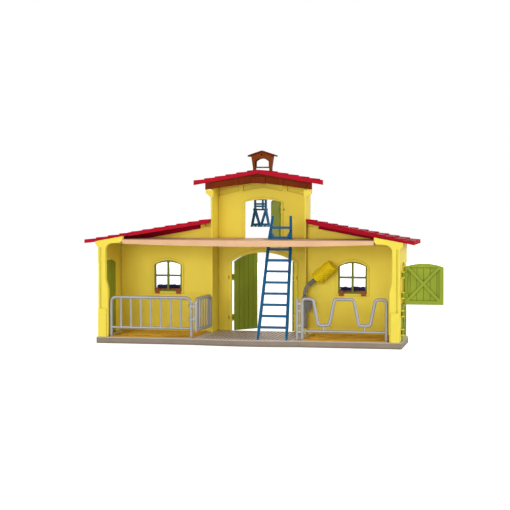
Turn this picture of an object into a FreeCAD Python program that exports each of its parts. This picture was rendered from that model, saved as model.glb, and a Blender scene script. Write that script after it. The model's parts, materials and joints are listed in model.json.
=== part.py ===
import FreeCAD, Part
import math
import os

os.makedirs("parts", exist_ok=True)

# Toy barn with an open play side. Millimetres, X to the right, Y to the rear, Z up.
# The origin lies on the table, in the middle of the ground plan.

# Building
half_span = 240.0           # middle to the outer face of an end wall
bay_depth = 106.5           # front of the posts to the inside of a wing's rear wall
recess_depth = 32.0         # wing rear wall to tower rear wall, inside faces
tower_half = 79.0           # middle to the outer face of a tower side wall
tower_lead = 8.5            # tower front ahead of the wing rear wall
wall = 3.0
corner_radius = 3.0         # rounding where an end wall turns into the rear wall
seat_gap = 0.3              # clearance round a piece that is let in
cut_over = 6.0              # how far a cut runs past what it cuts

# Base
base_height = 10.0
base_margin = 3.0           # base showing outside the walls
aisle_margin = 5.0          # tower wall to the joint between aisle and stall
base_bow = 8.0              # how far the aisle's front edge bows out
base_chamfer = 1.2
deck_plank = 6.4            # width of a deck plank, which runs from front to back
deck_margin = 4.0
deck_groove = 1.5
deck_cut = 0.9
straw_inner_gap = 3.0
straw_outer_gap = 18.5      # end wall's outer face to the mat
straw_front = 3.0           # post front to the mat's front edge
straw_pocket = 2.2
straw_proud = 1.4

# Loft floor
loft_top = 164.8
loft_thick = 6.3
loft_bow = 8.0
loft_belly = 3.4
loft_edge = 5.0
loft_plank = 13.0
loft_end_gap = 16.0         # end wall's outer face to the board's end behind a bracket
ledge_height = 3.0
ledge_depth = 4.0
hatch_x = 41.6
hatch_half = 24.0
hatch_front = 55.0          # post front to the hatch's front edge
hatch_length = 26.0

# End posts and brackets
post_depth = 9.0
post_width = 12.0
post_foot_width = 16.0
post_foot_top = 86.0
post_flare_height = 15.0
plinth_top = 55.7
plinth_width = 13.5
plinth_proud = 2.0
plinth_chamfer = 1.6
post_groove_in = 3.0        # end wall's outer face to the groove down the post
post_groove = 2.6
post_groove_cut = 1.0
capital_out = 4.5
capital_height = 11.0
bracket_reach = 40.0        # end wall's outer face to the bracket's free end
bracket_lift = 0.3          # loft underside to the underside of the bracket arm
bracket_radius = 11.0
bracket_nose = 3.6
bracket_slope = 1.2

# Wing walls, windows and flower boxes
eave_gap = 8.0              # wall top to roof underside
tab_offset = 11.0
tab_width = 8.0
window_place_share = 0.471  # window middle along the wing, from the tower outwards
window_half = 23.3
window_sill = 76.6
window_tall = 43.7
window_rise = 7.8
window_transom_share = 0.6
trim_width = 3.2
trim_proud = 1.0
frame_bar = 2.6
frame_cross = 3.4
frame_depth = 4.0
frame_gap = 0.15
box_tall = 17.3
box_lap = 4.7               # box rim above the window sill
box_half = 24.2
box_taper = 2.0
box_depth = 13.0
box_wall = 1.8
box_gap = 0.2
box_hook_inset = 1.6        # window jamb to a hook over the sill
box_hook_width = 7.4
box_hook_thick = 1.7
box_hook_low = 3.6          # hook end below the sill
soil_drop = 2.5
bloom_radius = 4.6
bloom_count = 8

# Stable doors in the end walls
stable_front = 22.5         # post front to the front jamb
stable_width = 62.3
stable_headroom = 33.9      # spring of the arch below the loft
stable_rise = 6.3
stable_split_share = 0.493  # where the door is cut in two
stable_gap = 0.6
lower_hinge_shares = (0.25, 0.76)
upper_hinge_shares = (0.251, 0.795)
stable_rest_angle = 90.0

# Doors and hinges in general
door_thick = 3.0
door_proud = 0.6
door_gap = 0.6
door_frame = 6.0
door_brace = 4.6
door_raise = 1.6
plank_groove = 0.9
plank_cut = 0.5
plank_width = 9.6
hinge_radius = 2.4
pin_radius = 1.2
pin_gap = 0.1
knuckle_height = 6.0
lug_height = 2.2
lug_root = 5.0
hinge_gap = 0.3
hinge_arm = 8.0

# Tower
main_half = 52.6
main_headroom = 32.7        # spring of the main arch below the loft
main_rise = 14.9
main_trim = 6.0
main_head_gap = 2.0         # arch of the doorway to the arch of the leaves
main_hinge_shares = (0.19, 0.77)
main_left_angle = 55.0
main_right_angle = 105.0
slot_offset = 5.0
slot_half = 1.1
slot_height = 5.0
slot_depth = 2.2
peep_radius = 1.6
loft_door_half = 30.3
loft_door_tall = 59.3
loft_door_rise = 4.2
loft_door_hinge_shares = (0.19, 0.79)
loft_door_angle = 67.0
tower_head = 29.5           # loft door spring to the tower's eave
cornice_drop = 9.7          # tower eave to the cornice top
cornice_tall = 11.6
cornice_out = 8.2
cornice_in = 1.0
cornice_depth = 9.0
panel_cut = 1.7
panel_tall = 10.0
panel_drop = 11.4           # tower eave to the panels' lower edge
panel_inner_half = 33.0
panel_outer_start = 41.0
panel_edge_gap = 4.5
panel_rise = 6.6
panel_fall = 7.8

# Roofs
course = 17.0               # one lapped course, measured along the slope's run
course_step = 1.6
roof_skin = 4.4
roof_lip = 2.0              # front edge of the tower roof below its underside
roof_lip_thick = 1.8
tile_width = 16.0
tile_joint = 0.8
tile_cut = 0.7
wing_eave_out = 21.5        # end wall's outer face to the roof tip
wing_eave_lift = 0.5        # loft underside to the roof tip's underside
wing_pitch_share = 0.1815
wing_tip_front = 3.0        # roof tip ahead of the posts
wing_inner_lead = 13.5      # roof front at the tower, ahead of the wing rear wall
wing_back = 6.5             # roof behind the inside of the rear wall
skirt_drop = 12.0
skirt_thick = 2.4
tower_eave_out = 28.0
tower_rear_eave_out = 12.0
tower_pitch_share = 0.173
tower_roof_front = 3.5
tower_roof_depth = 84.0
gable_out = 9.0
gable_pitch_share = 0.137
gable_thick = 4.0
gable_strip = 3.6
gable_strip_proud = 0.9
gable_end_block = 7.5
gable_crest_half = 11.5     # raised end of the ridge beam
gable_crest_tall = 10.0
gable_crest_proud = 2.4
beam_half = 9.0
beam_tall = 17.1
beam_end_gap = 4.0

# Cupola
cupola_lift = 2.0
cupola_bottom_half = 15.1
cupola_top_half = 17.8
cupola_height = 20.2
cupola_depth_share = 0.47
cupola_wall = 2.0
cupola_arch_share = 0.75    # arch width in the narrow end of the wall
cupola_arch_spring = 8.3
cupola_arch_rise = 5.2
cupola_foot = 3.0
cupola_foot_drop = 7.0
cupola_eave_out = 5.4
cupola_eave_front = 2.0
cupola_pitch_share = 0.33
cupola_roof_thick = 2.4
cupola_hole = 1.3

# Ladder
ladder_foot_front = 2.5
ladder_lean_share = 0.43
ladder_above = 37.2         # rails above the loft
ladder_foot_half = 25.0
ladder_loft_half = 19.8
ladder_top_half = 16.9
rail_width = 4.6
rail_foot_width = 2.6
rail_top_width = 3.6
rail_depth = 3.6
rung_first = 18.8
rung_pitch = 17.15
rung_height = 4.0
rung_depth = 2.6
hook_tall = 15.7            # loft to the top of the braces
hook_bar = 4.5
hook_brace_tall = 4.5       # brace where it meets a rail
hook_brace_start = 3.9      # rail to the brace's foot
hook_brace_width = 3.7
hook_reach = 13.0
hook_thick = 2.0

# Railings and the gate
rail_front = 8.0            # post front to the railing's middle line
tube_radius = 2.5
bar_radius = 1.8
low_rail_radius = 2.1
pen_end_gap = 19.0          # end wall's outer face to the railing's end
pen_gate_gap = 5.6          # aisle joint to the railing's other end
pen_top = 73.2
pen_low = 25.0
pen_bars = 7
pen_bend = 9.0
gate_offset = 8.2
gate_length = 80.0
gate_top = 72.0
gate_low = 22.5
gate_bars = 5
gate_bend = 8.0
gate_bar_radius = 1.3
gate_rest_angle = 3.0
clip_radius = 4.2
clip_half = 1.7
clip_height = 5.0
clip_shares = (0.3, 0.71)   # clips up the gate
clip_gap = 0.1
feed_start_gap = 4.0        # aisle joint to the railing's first tube
feed_end_gap = 21.0         # end wall's outer face to the railing's last tube
feed_top = 74.5
feed_trough = 34.0
feed_low = 24.4
feed_run_shares = (0.13, 0.061, 0.134, 0.061, 0.228, 0.061, 0.134, 0.061, 0.13)
feed_bend = 5.0
clip_bar_step = 8.0
clip_bar_shares = (0.2, 0.35, 0.71, 0.88)
clip_bar_clip_height = 3.2

# Brush
brush_post_radius = 4.0
brush_post_top = 70.0
brush_post_low = 20.5       # lower end of the post, which hangs on the tower wall
brush_post_inset = 1.6      # post middle inside the tower wall's outer face
bowl_out = 5.5              # post middle to the drinking bowl's middle
bowl_low = 48.0
bowl_top = 64.4
bowl_radius = 9.3
bowl_foot_radius = 3.6
bowl_wall = 1.3
brush_start_out = 16.0      # tower wall to the roller's lower end
brush_start_rise = 30.0
brush_run = 27.8
brush_rise = 23.3
brush_radius = 11.3
brush_core_radius = 5.0
brush_rows = 8
brush_row_share = 0.62
neck_radius = 2.8
neck_bend = 20.0
neck_rib_radius = 3.8
neck_ribs = 6
neck_rib_share = 0.6
spindle_radius = 2.0
spindle_share = 0.62        # spindle length in the roller
spindle_gap = 0.1

# Hoist and grab
jib_clear = 9.7             # loft door's crown to the arm's underside
jib_reach = 66.0
jib_height = 5.0
jib_half = 2.6
jib_pivot_out = 6.0
jib_rest_angle = 16.4
jib_hub_radius = 3.9
jib_eye_radius = 4.6
fork_half = 6.0
fork_plate = 4.0
fork_back = 1.5
pivot_radius = 2.0
pivot_gap = 0.1
yoke_drop = 9.0             # arm's underside to the yoke
yoke_tall = 20.0
yoke_half = 9.3
yoke_bar_shares = (0.42, 0.62, 0.9)
yoke_radius = 2.0
yoke_bar_radius = 1.5
ram_offset = 4.0
ram_radius = 1.7
jaw_tall = 25.0             # jaw pivot to the jaw's foot
jaw_outer_gap = 5.0
jaw_inner = 1.9
jaw_bar_radius = 1.6
jaw_gap = 0.3
jaw_eye_radius = 2.6
jaw_eye_thick = 3.4
jaw_pin_radius = 1.2
jaw_pin_gap = 0.1
tine_half = 8.0
tine_drop = 3.0
tine_count = 3

# Places in plan, worked out from the sizes above
front_y = -(bay_depth + recess_depth + wall) / 2
wing_rear_y = front_y + bay_depth
wing_out_y = wing_rear_y + wall
tower_rear_y = wing_rear_y + recess_depth
tower_out_y = tower_rear_y + wall
tower_front_y = wing_rear_y - tower_lead
tower_roof_y = tower_front_y - tower_roof_front
tower_roof_end_y = tower_roof_y + tower_roof_depth
cupola_y = (tower_roof_y + tower_roof_end_y) / 2
stable_jamb_y = front_y + stable_front
rail_y = front_y + rail_front
inner_span = half_span - wall
base_split = tower_half + aisle_margin
straw_inner = base_split + straw_inner_gap
straw_outer = half_span - straw_outer_gap
bracket_end = half_span - bracket_reach
tab_inner = tower_half + tab_offset
window_x = tower_half + (inner_span - tower_half) * window_place_share
wing_tip_x = half_span + wing_eave_out
tower_tip_x = tower_half + tower_eave_out
tower_rear_tip_x = tower_half + tower_rear_eave_out
gable_half = tower_half + gable_out
pen_left = pen_end_gap - half_span
pen_right = -base_split - pen_gate_gap
feed_left = base_split + feed_start_gap
feed_right = half_span - feed_end_gap
hinge_out = hinge_radius + hinge_gap

# Heights, worked out from the sizes above
straw_top = base_height + straw_proud
loft_low = loft_top - loft_thick
bracket_low = loft_low + bracket_lift
wing_tip_z = loft_low + wing_eave_lift
window_spring = window_sill + window_tall
frame_transom = window_sill + window_tall * window_transom_share
box_top = window_sill + box_lap
box_low = box_top - box_tall
stable_spring = loft_low - stable_headroom
stable_split = base_height + (stable_spring - base_height) * stable_split_share
lower_hinges = [base_height + (stable_split - base_height) * share for share in lower_hinge_shares]
upper_hinges = [stable_split + (stable_spring - stable_split) * share for share in upper_hinge_shares]
main_spring = loft_low - main_headroom
main_hinges = [base_height + (main_spring - base_height) * share for share in main_hinge_shares]
loft_door_spring = loft_top + loft_door_tall
loft_door_hinges = [loft_top + loft_door_tall * share for share in loft_door_hinge_shares]
tower_tip_z = loft_door_spring + tower_head
cornice_top = tower_tip_z - cornice_drop
cornice_low = cornice_top - cornice_tall
gable_end_low = cornice_top + seat_gap
panel_low = tower_tip_z - panel_drop
ridge_under = tower_tip_z + tower_tip_x * tower_pitch_share
ridge_top = ridge_under + roof_skin + course_step
beam_low = ridge_under - beam_tall
cupola_floor = ridge_top + cupola_lift
ladder_top = loft_top + ladder_above
jib_low = loft_door_spring + loft_door_rise + jib_clear
yoke_top = jib_low - yoke_drop
jaw_pivot = yoke_top - yoke_tall * yoke_bar_shares[-1]
jaw_foot = jaw_pivot - jaw_tall


def vec(x, y, z):
    return FreeCAD.Vector(x, y, z)


def unit(vector):
    return FreeCAD.Vector(vector).normalize()


def block(x0, x1, y0, y1, z0, z1):
    return Part.makeBox(x1 - x0, y1 - y0, z1 - z0, vec(x0, y0, z0))


def prism(points, along):
    return Part.Face(Part.makePolygon(points + points[:1])).extrude(along)


def prism_x(outline, x0, x1):
    return prism([vec(x0, y, z) for y, z in outline], vec(x1 - x0, 0, 0))


def prism_y(outline, y0, y1):
    return prism([vec(x, y0, z) for x, z in outline], vec(0, y1 - y0, 0))


def prism_z(outline, z0, z1):
    return prism([vec(x, y, z0) for x, y in outline], vec(0, 0, z1 - z0))


def arch(half, low, spring, rise, place, along):
    """Straight jambs under a segmental arch; place turns (across, up) into a point."""
    foot, far_foot = place(-half, low), place(half, low)
    crown = Part.Arc(place(half, spring), place(0, spring + rise), place(-half, spring)).toShape()
    sill = Part.makeLine(foot, far_foot)
    jamb = Part.makeLine(far_foot, place(half, spring))
    far_jamb = Part.makeLine(place(-half, spring), foot)
    return Part.Face(Part.Wire([sill, jamb, crown, far_jamb])).extrude(along)


def arch_y(mid, half, low, spring, rise, y0, y1):
    return arch(half, low, spring, rise, lambda u, z: vec(mid + u, y0, z), vec(0, y1 - y0, 0))


def arch_x(mid, half, low, spring, rise, x0, x1):
    return arch(half, low, spring, rise, lambda u, z: vec(x0, mid + u, z), vec(x1 - x0, 0, 0))


def rod(start, end, radius):
    run = end - start
    return Part.makeCylinder(radius, run.Length, start, run)


def bent_tube(points, radius, bend):
    """Round tube along straight runs joined by tangent arcs of one bend radius."""
    edges = []
    last = points[0]
    for before, corner, after in zip(points, points[1:], points[2:]):
        back, onward = unit(before - corner), unit(after - corner)
        half_turn = math.acos(back.dot(onward)) / 2
        reach = bend / math.tan(half_turn)
        start, stop = corner + back * reach, corner + onward * reach
        middle = corner + unit(back + onward) * (bend / math.sin(half_turn) - bend)
        edges.append(Part.makeLine(last, start))
        edges.append(Part.Arc(start, middle, stop).toShape())
        last = stop
    edges.append(Part.makeLine(last, points[-1]))
    ring = Part.Wire(Part.makeCircle(radius, points[0], points[1] - points[0]))
    return Part.Wire(edges).makePipeShell([ring], True, False)


def joined(solids):
    return solids[0].fuse(solids[1:]).removeSplitter()


def other_side(shape):
    return shape.mirror(vec(0, 0, 0), vec(1, 0, 0))


def wing_under(x):
    return wing_tip_z + (wing_tip_x - x) * wing_pitch_share


def tower_under(x):
    return tower_tip_z + (tower_tip_x - abs(x)) * tower_pitch_share


def local_block(place, u0, u1, v0, v1, z0, z1):
    """Block in a door's own directions: u along the closed leaf, v outwards."""
    (xa, ya), (xb, yb) = place(u0, v0), place(u1, v1)
    return block(min(xa, xb), max(xa, xb), min(ya, yb), max(ya, yb), z0, z1)


def axis_post(place, radius, low, height):
    x, y = place(0, hinge_out)
    return Part.makeCylinder(radius, height, vec(x, y, low))


def wall_lugs(place, height):
    """Pair of eyes on the wall that hold one hinge pin from below and above."""
    reach = knuckle_height / 2 + hinge_gap
    lugs = []
    for low in (height - reach - lug_height, height + reach):
        eye = axis_post(place, hinge_radius, low, lug_height)
        root = local_block(place, -lug_root, 0, 0, hinge_out, low, low + lug_height)
        hole = axis_post(place, pin_radius + pin_gap, low - cut_over, lug_height + 2 * cut_over)
        lugs.append(eye.fuse(root).cut(hole))
    return lugs


def leaf_hinge(place, height):
    """Barrel, moulded pin and strap on the leaf, between the wall's eyes."""
    low = height - knuckle_height / 2
    barrel = axis_post(place, hinge_radius, low, knuckle_height)
    pin_reach = hinge_gap + lug_height
    pin = axis_post(place, pin_radius, low - pin_reach, knuckle_height + 2 * pin_reach)
    strap = local_block(place, 0, hinge_arm, hinge_gap, hinge_out, low, low + knuckle_height)
    return [barrel, pin, strap]


def swung(shape, place, angle):
    x, y = place(0, hinge_out)
    turned = shape.copy()
    turned.rotate(vec(x, y, 0), vec(0, 0, 1), angle)
    return turned


def stable_place(u, v):
    return half_span + v, stable_jamb_y + u


def main_place(u, v):
    return -main_half + u, tower_out_y + v


def loft_door_place(u, v):
    return loft_door_half - u, tower_out_y + v


def base_centre():
    front = front_y - base_margin
    back = tower_out_y + base_margin
    left, right = vec(-base_split, front, 0), vec(base_split, front, 0)
    bow = Part.Arc(left, vec(0, front - base_bow, 0), right).toShape()
    sides = Part.makePolygon([right, vec(base_split, back, 0), vec(-base_split, back, 0), left])
    floor = Part.Face(Part.Wire([bow] + sides.Edges)).extrude(vec(0, 0, base_height))
    rim = [e for e in floor.Edges
           if e.BoundBox.ZMin > base_height / 2 and e.BoundBox.YMax < front + base_bow]
    return floor.makeChamfer(base_chamfer, rim).cut(deck_grooves())


def deck_grooves():
    """Grooves between the deck planks of the aisle, from front to back, kept clear of the walls."""
    side = tower_half - wall - deck_margin
    count = int(2 * side / deck_plank)
    first = -(count - 1) * deck_plank / 2 - deck_groove / 2
    grooves = []
    for number in range(count):
        x = first + number * deck_plank
        grooves.append(block(x, x + deck_groove, front_y, tower_rear_y - deck_margin, base_height - deck_cut,
                             base_height + cut_over))
    return grooves


def base_right():
    front = front_y - base_margin
    back = wing_out_y + base_margin
    slab = block(base_split, half_span + base_margin, front, back, 0, base_height)
    corners = [e for e in slab.Edges
               if e.BoundBox.XMin > half_span and e.BoundBox.ZLength > base_height / 2]
    slab = slab.makeFillet(base_margin, corners)
    rim = [e for e in slab.Edges
           if e.BoundBox.ZMin > base_height / 2 and e.BoundBox.XMax > base_split + seat_gap]
    slab = slab.makeChamfer(base_chamfer, rim)
    pocket = block(straw_inner, straw_outer, front_y + straw_front, wing_rear_y - seat_gap,
                   base_height - straw_pocket, base_height + cut_over)
    return slab.cut(pocket)


def straw_floor_right():
    mat = block(straw_inner + seat_gap, straw_outer - seat_gap, front_y + straw_front + seat_gap,
                wing_rear_y - 2 * seat_gap, base_height - straw_pocket, straw_top)
    rim = [e for e in mat.Edges if e.BoundBox.ZMin > base_height]
    return mat.makeChamfer(straw_proud / 2, rim)


def window_shape(grow, y0, y1):
    return arch_y(window_x, window_half + grow, window_sill - grow, window_spring, window_rise + grow,
                  y0, y1)


def rear_wall_right():
    inner, outer = tower_half, inner_span
    tab_outer = tab_inner + tab_width
    outline = [(inner, base_height), (outer, base_height), (outer, wing_under(outer) - eave_gap),
               (tab_outer, wing_under(tab_outer) - eave_gap), (tab_outer, wing_under(tab_outer)),
               (inner, wing_under(inner))]
    recess = block(inner, tab_inner, wing_rear_y - cut_over, wing_rear_y + wall / 2,
                   wing_under(inner) - eave_gap, ridge_top)
    panel = prism_y(outline, wing_rear_y, wing_out_y).cut(recess)
    trim = window_shape(trim_width, wing_rear_y - trim_proud, wing_out_y + trim_proud)
    ledge = block(tower_half, outer - corner_radius, wing_rear_y - ledge_depth, wing_rear_y,
                  loft_low - ledge_height, loft_low)
    hole = window_shape(0, wing_rear_y - cut_over, wing_out_y + cut_over)
    return joined([panel, trim, ledge]).cut(hole)


def window_right():
    middle = (wing_rear_y + wing_out_y) / 2
    y0, y1 = middle - frame_depth / 2, middle + frame_depth / 2
    sash = window_shape(-frame_gap, y0, y1)
    light = window_shape(-frame_bar, y0 - cut_over, y1 + cut_over)
    upright = block(window_x - frame_cross / 2, window_x + frame_cross / 2, y0, y1,
                    window_sill + frame_bar / 2, window_spring + window_rise - frame_bar / 2)
    transom = block(window_x - window_half + frame_bar / 2, window_x + window_half - frame_bar / 2,
                    y0, y1, frame_transom - frame_cross / 2, frame_transom + frame_cross / 2)
    return joined([sash.cut(light), upright, transom])


def flower_box_right():
    back = wing_out_y + trim_proud
    front = back + box_depth
    outline = [(back, box_low), (front - box_taper, box_low), (front, box_top), (back, box_top)]
    trough = prism_x(outline, window_x - box_half, window_x + box_half)
    hollow = block(window_x - box_half + box_wall, window_x + box_half - box_wall,
                   back + box_wall, front - box_taper - box_wall, box_low + box_wall, box_top + cut_over)
    pad = block(window_x - box_half + box_wall, window_x + box_half - box_wall,
                wing_out_y, back + box_wall / 2, box_low, window_sill - trim_width - seat_gap)
    return joined([trough.cut(hollow), pad] + box_hooks(back))


def box_hooks(back):
    """Two hooks that carry the box: over the bottom bar of the window, then down inside."""
    inside = wing_rear_y - trim_proud - seat_gap
    hooks = []
    for side in (-1, 1):
        outer = window_x + side * (window_half - box_hook_inset)
        strap_outer = window_x + side * (window_half - frame_bar - seat_gap)
        inner = outer - side * box_hook_width
        hooks.append(block(min(strap_outer, inner), max(strap_outer, inner), inside - box_hook_thick,
                           back + box_wall / 2, window_sill + frame_bar + seat_gap, box_top))
        hooks.append(block(min(outer, inner), max(outer, inner), inside - box_hook_thick, inside,
                           window_sill - box_hook_low, box_top))
    return hooks


def flowers_right():
    inset = box_wall + box_gap
    back = wing_out_y + trim_proud + inset
    front = back + box_depth - box_taper - 2 * inset
    left, right = window_x - box_half + inset, window_x + box_half - inset
    soil = block(left, right, back, front, box_low + box_wall, box_top - soil_drop)
    pitch = (right - left - 2 * bloom_radius) / (bloom_count - 1)
    blooms = []
    for number in range(bloom_count):
        lean = bloom_radius / 4 if number % 2 else -bloom_radius / 4
        middle = vec(left + bloom_radius + number * pitch, (back + front) / 2, box_top + lean)
        blooms.append(Part.makeSphere(bloom_radius, middle))
    sky = block(left, right, back, front, box_low + box_wall, box_top + 3 * bloom_radius)
    return joined([soil] + [bloom.common(sky) for bloom in blooms])


def side_wall_right():
    y0, y1 = front_y + post_depth, wing_out_y
    slope = [(inner_span, base_height), (half_span, base_height), (half_span, wing_under(half_span)),
             (inner_span, wing_under(inner_span))]
    panel = prism_y(slope, y0, y1)
    corner = block(inner_span - corner_radius, inner_span, wing_rear_y - corner_radius, wing_rear_y,
                   base_height, loft_low)
    hollow = Part.makeCylinder(corner_radius, loft_top,
                               vec(inner_span - corner_radius, wing_rear_y - corner_radius, 0))
    middle = stable_jamb_y + stable_width / 2
    doorway = arch_x(middle, stable_width / 2, base_height - cut_over, stable_spring, stable_rise,
                     inner_span - cut_over, half_span + cut_over)
    lugs = []
    for height in lower_hinges + upper_hinges:
        lugs += wall_lugs(stable_place, height)
    return joined([panel.cut(doorway), corner.cut(hollow)] + lugs)


def stable_leaf(low, high, heights):
    """Half of a stable door: arched above, plain below, crossed braces outside."""
    middle = stable_jamb_y + stable_width / 2
    inside_face = half_span + door_proud - door_thick
    outside_face = half_span + door_proud
    cut = block(inside_face - cut_over, outside_face + cut_over,
                stable_jamb_y, stable_jamb_y + stable_width, low, high)

    def door(inset, x0, x1):
        return arch_x(middle, stable_width / 2 - inset, base_height + inset, stable_spring,
                      stable_rise - inset, x0, x1)

    plate = door(stable_gap, inside_face, outside_face).common(cut)
    border_face = outside_face + door_raise
    field_high = min(high, stable_spring + stable_rise)
    field = block(inside_face - cut_over, border_face + cut_over, stable_jamb_y + stable_gap + door_frame,
                  stable_jamb_y + stable_width - stable_gap - door_frame, low + door_frame,
                  field_high - door_frame)
    border = door(stable_gap, outside_face, border_face).common(cut)
    field = field.common(door(stable_gap + door_frame, inside_face - cut_over, border_face + cut_over))
    border = border.cut(field)
    room = field.BoundBox
    braces = [prism_x(outline, outside_face, border_face)
              for outline in crossed_battens(room.YMin, room.YMax, room.ZMin, room.ZMax)]
    hinges = []
    for height in heights:
        hinges += leaf_hinge(stable_place, height)
    clearance = axis_post(stable_place, hinge_radius + hinge_gap, low - cut_over, high - low + 2 * cut_over)
    planks = plate.cut(plank_cuts_x(plate.BoundBox, inside_face) + plank_cuts_x(plate.BoundBox,
                                                                                outside_face))
    body = joined([planks, border] + [brace.common(field) for brace in braces]).cut(clearance)
    return joined([body] + hinges)


def batten(start, end):
    """Outline of a straight batten between two points, run past both ends."""
    (u0, z0), (u1, z1) = start, end
    length = math.hypot(u1 - u0, z1 - z0)
    du, dz = (u1 - u0) / length, (z1 - z0) / length
    u0, z0, u1, z1 = u0 - du * cut_over, z0 - dz * cut_over, u1 + du * cut_over, z1 + dz * cut_over
    half = door_brace / 2
    return [(u0 - dz * half, z0 + du * half), (u0 + dz * half, z0 - du * half),
            (u1 + dz * half, z1 - du * half), (u1 - dz * half, z1 + du * half)]


def crossed_battens(u0, u1, z0, z1):
    return [batten((u0, z0), (u1, z1)), batten((u0, z1), (u1, z0))]


def plank_cuts_x(room, face):
    """Upright grooves between the planks on one face of a leaf in an end wall."""
    count = int(round(room.YLength / plank_width))
    pitch = room.YLength / count
    cuts = []
    for number in range(1, count):
        y = room.YMin + number * pitch
        cuts.append(block(face - plank_cut, face + plank_cut, y - plank_groove / 2, y + plank_groove / 2,
                          room.ZMin - cut_over, room.ZMax + cut_over))
    return cuts


def plank_cuts_y(room, face):
    """Upright grooves between the planks on one face of a leaf in the tower wall."""
    count = int(round(room.XLength / plank_width))
    pitch = room.XLength / count
    cuts = []
    for number in range(1, count):
        x = room.XMin + number * pitch
        cuts.append(block(x - plank_groove / 2, x + plank_groove / 2, face - plank_cut, face + plank_cut,
                          room.ZMin - cut_over, room.ZMax + cut_over))
    return cuts


def front_post_right():
    inner = half_span - post_width
    foot_inner = half_span - post_foot_width
    flare_top = post_foot_top + post_flare_height
    arc_x = inner - bracket_radius
    arc_z = bracket_low - bracket_radius
    diagonal = bracket_radius * math.sqrt(2) / 2
    corner = vec(arc_x + diagonal, front_y, arc_z + diagonal)
    sweep = Part.Arc(vec(inner, front_y, arc_z), corner, vec(arc_x, front_y, bracket_low)).toShape()
    nose_low = bracket_low + bracket_slope
    above = [(arc_x, bracket_low), (bracket_end + bracket_nose, nose_low),
             (bracket_end, nose_low + bracket_nose),
             (bracket_end, wing_under(bracket_end)),
             (half_span + capital_out, wing_under(half_span + capital_out)),
             (half_span + capital_out, wing_under(half_span) - capital_height / 2),
             (half_span, wing_under(half_span) - capital_height), (half_span, base_height),
             (foot_inner, base_height), (foot_inner, post_foot_top), (inner, flare_top), (inner, arc_z)]
    rest = Part.makePolygon([vec(x, front_y, z) for x, z in above])
    post = Part.Face(Part.Wire([sweep] + rest.Edges)).extrude(vec(0, post_depth, 0))
    plinth = block(half_span - plinth_width, half_span, front_y - plinth_proud, front_y + post_depth / 2,
                   base_height, plinth_top)
    rim = [e for e in plinth.Edges if e.BoundBox.ZMin > plinth_top - seat_gap and e.BoundBox.YMax < front_y]
    groove_x = half_span - post_groove_in
    groove = block(groove_x - post_groove, groove_x, front_y - cut_over, front_y + post_groove_cut,
                   plinth_top, wing_under(half_span) - capital_height)
    return joined([post.cut(groove), plinth.makeChamfer(plinth_chamfer, rim)])


def tower_side_wall_right():
    inner = tower_half - wall
    side = prism_y([(inner, base_height), (tower_half, base_height), (tower_half, tower_under(tower_half)),
                    (inner, tower_under(inner))], tower_front_y, tower_rear_y)
    shelf = block(inner - cut_over, tower_half + cut_over, tower_front_y - cut_over,
                  tower_front_y + gable_thick + seat_gap, cornice_top, ridge_top)
    mid = (cornice_low + cornice_top) / 2
    cornice = prism_y([(inner - cornice_in, cornice_low), (tower_half, cornice_low),
                       (tower_half + cornice_out, mid),
                       (tower_half + cornice_out, cornice_top), (inner - cornice_in, cornice_top)],
                      tower_front_y, tower_front_y + cornice_depth)
    return joined([side.cut(shelf), cornice])


def relief_panels():
    """Three shallow fields under the gable, their lower edges following the roof."""
    y0, y1 = tower_rear_y - cut_over, tower_rear_y + panel_cut
    a, b = panel_outer_start, tower_half - panel_edge_gap
    low, end_low = panel_low, panel_low - panel_fall
    right = prism_y([(a, low), (b, end_low), (b, end_low + panel_tall), (a, low + panel_tall)], y0, y1)
    c = panel_inner_half
    top = panel_low + panel_rise
    middle = prism_y([(-c, low), (0, top), (c, low), (c, low + panel_tall), (0, top + panel_tall),
                      (-c, low + panel_tall)], y0, y1)
    return [right, other_side(right), middle]


def tower_rear_wall():
    edge = tower_half
    gable = prism_y([(-edge, base_height), (edge, base_height), (edge, tower_under(edge)), (0, ridge_under),
                     (-edge, tower_under(edge))], tower_rear_y, tower_out_y)
    trim = arch_y(0, main_half + main_trim, base_height, main_spring, main_rise + main_trim,
                  tower_rear_y - trim_proud, tower_rear_y + wall / 2)
    ledge = block(-edge + wall + seat_gap, edge - wall - seat_gap, tower_rear_y - ledge_depth, tower_rear_y,
                  loft_low - ledge_height, loft_low)
    loft_trim = arch_y(0, loft_door_half + trim_width, loft_top, loft_door_spring,
                       loft_door_rise + trim_width, tower_rear_y - trim_proud, tower_rear_y + wall / 2)
    y0, y1 = tower_rear_y - cut_over, tower_out_y + cut_over
    doorway = arch_y(0, main_half, base_height - cut_over, main_spring, main_rise, y0, y1)
    loft_doorway = arch_y(0, loft_door_half, loft_top, loft_door_spring, loft_door_rise, y0, y1)
    beam_slot = block(-beam_half - seat_gap, beam_half + seat_gap, y0, y1, beam_low - seat_gap, ridge_top)
    lugs = []
    slots = []
    for height in main_hinges:
        pair = wall_lugs(main_place, height)
        lugs += pair + [other_side(lug) for lug in pair]
        middle = main_half + slot_offset
        slot = block(middle - slot_half, middle + slot_half, y0, tower_rear_y + slot_depth,
                     height - slot_height / 2, height + slot_height / 2)
        slots += [slot, other_side(slot)]
    for height in loft_door_hinges:
        lugs += wall_lugs(loft_door_place, height)
    peep = rod(vec(loft_door_half + slot_offset, y0, loft_door_hinges[1]),
               vec(loft_door_half + slot_offset, tower_rear_y + slot_depth, loft_door_hinges[1]),
               peep_radius)
    shell = joined([gable, trim, ledge, loft_trim])
    return joined([shell.cut([doorway, loft_doorway, beam_slot, peep] + slots + relief_panels())] + lugs)


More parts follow.
